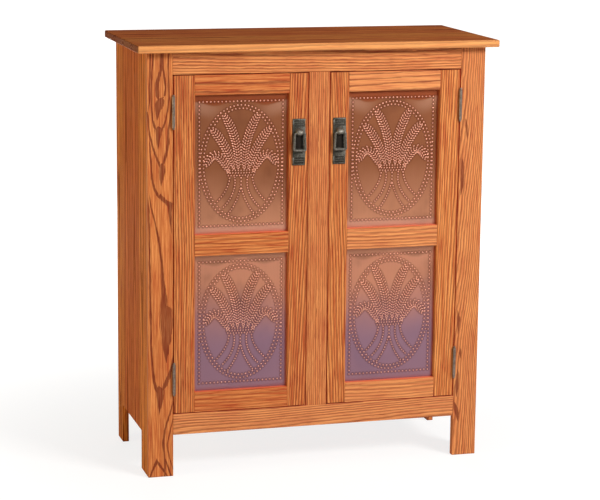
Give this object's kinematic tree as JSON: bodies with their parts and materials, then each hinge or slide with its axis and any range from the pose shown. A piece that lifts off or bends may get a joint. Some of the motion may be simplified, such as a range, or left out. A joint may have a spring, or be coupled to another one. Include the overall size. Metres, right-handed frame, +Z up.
{
  "type": "pie safe",
  "caption": "Free-standing oak cupboard on straight feet, with inset framed doors that hold punched copper panels, drop bail pulls, adjustable shelves inside and an overhanging plain top.",
  "frame": {"origin": "on the floor, under the middle of the top board", "axes": "+X to the right of someone facing the doors, -Y out of the doors, +Z up"},
  "size_m": [1.078, 0.502, 1.266],
  "materials": {
    "oak": "satin varnished red-brown oak with open grain",
    "dark_oak": "satin varnished oak, seen dark on the top",
    "plywood": "plain oak-faced plywood, lightly sealed",
    "copper": "brushed antique copper sheet, punched from behind",
    "dark_iron": "dark hammered iron with a dull sheen",
    "aged_brass": "dark antique brass",
    "steel": "zinc-plated steel",
    "brown_plastic": "brown moulded plastic"
  },
  "bodies": {
    "cabinet": {"top_board": "dark_oak", "left_side_panel": "oak", "right_side_panel": "oak", "bottom_board": "oak", "back_nailer": "oak", "front_cleat": "oak", "frame_left_stile": "oak", "frame_right_stile": "oak", "frame_centre_stile": "oak", "frame_top_rail": "oak", "frame_bottom_rail": "oak", "back_panel": "plywood", "lower_shelf": "oak", "lower_shelf_pin_left_front": "steel", "lower_shelf_pin_left_back": "steel", "lower_shelf_pin_right_front": "steel", "lower_shelf_pin_right_back": "steel", "upper_shelf": "oak", "upper_shelf_pin_left_front": "steel", "upper_shelf_pin_left_back": "steel", "upper_shelf_pin_right_front": "steel", "upper_shelf_pin_right_back": "steel", "left_upper_hinge_frame_leaf": "aged_brass", "left_upper_hinge_pin": "aged_brass", "left_lower_hinge_frame_leaf": "aged_brass", "left_lower_hinge_pin": "aged_brass", "left_catch": "brown_plastic", "right_upper_hinge_frame_leaf": "aged_brass", "right_upper_hinge_pin": "aged_brass", "right_lower_hinge_frame_leaf": "aged_brass", "right_lower_hinge_pin": "aged_brass", "right_catch": "brown_plastic"},
    "left_door": {"left_door_hinge_stile": "oak", "left_door_latch_stile": "oak", "left_door_top_rail": "oak", "left_door_mid_rail": "oak", "left_door_bottom_rail": "oak", "left_door_upper_copper": "copper", "left_door_upper_backing": "plywood", "left_upper_hinge_door_leaf": "aged_brass", "left_door_lower_copper": "copper", "left_door_lower_backing": "plywood", "left_lower_hinge_door_leaf": "aged_brass", "left_strike_plate": "steel", "left_pull_plate": "dark_iron"},
    "left_bail": {"left_pull_bail": "dark_iron"},
    "right_door": {"right_door_hinge_stile": "oak", "right_door_latch_stile": "oak", "right_door_top_rail": "oak", "right_door_mid_rail": "oak", "right_door_bottom_rail": "oak", "right_door_upper_copper": "copper", "right_door_upper_backing": "plywood", "right_upper_hinge_door_leaf": "aged_brass", "right_door_lower_copper": "copper", "right_door_lower_backing": "plywood", "right_lower_hinge_door_leaf": "aged_brass", "right_strike_plate": "steel", "right_pull_plate": "dark_iron"},
    "right_bail": {"right_pull_bail": "dark_iron"}
  },
  "joints": [
    {"name": "left_door_hinge", "type": "hinge", "parent": "cabinet", "child": "left_door", "pos_m": [-0.4321, -0.2219, 0.6837], "axis": [0, 0, -1], "range_deg": [0, 170]},
    {"name": "left_bail_pivot", "type": "hinge", "parent": "left_door", "child": "left_bail", "pos_m": [-0.06125, -0.2294, 1.0039], "axis": [-1, 0, 0], "range_deg": [0, 90]},
    {"name": "right_door_hinge", "type": "hinge", "parent": "cabinet", "child": "right_door", "pos_m": [0.4321, -0.2219, 0.6837], "axis": [0, 0, 1], "range_deg": [0, 170]},
    {"name": "right_bail_pivot", "type": "hinge", "parent": "right_door", "child": "right_bail", "pos_m": [0.06125, -0.2294, 1.0039], "axis": [-1, 0, 0], "range_deg": [0, 90]}
  ]
}
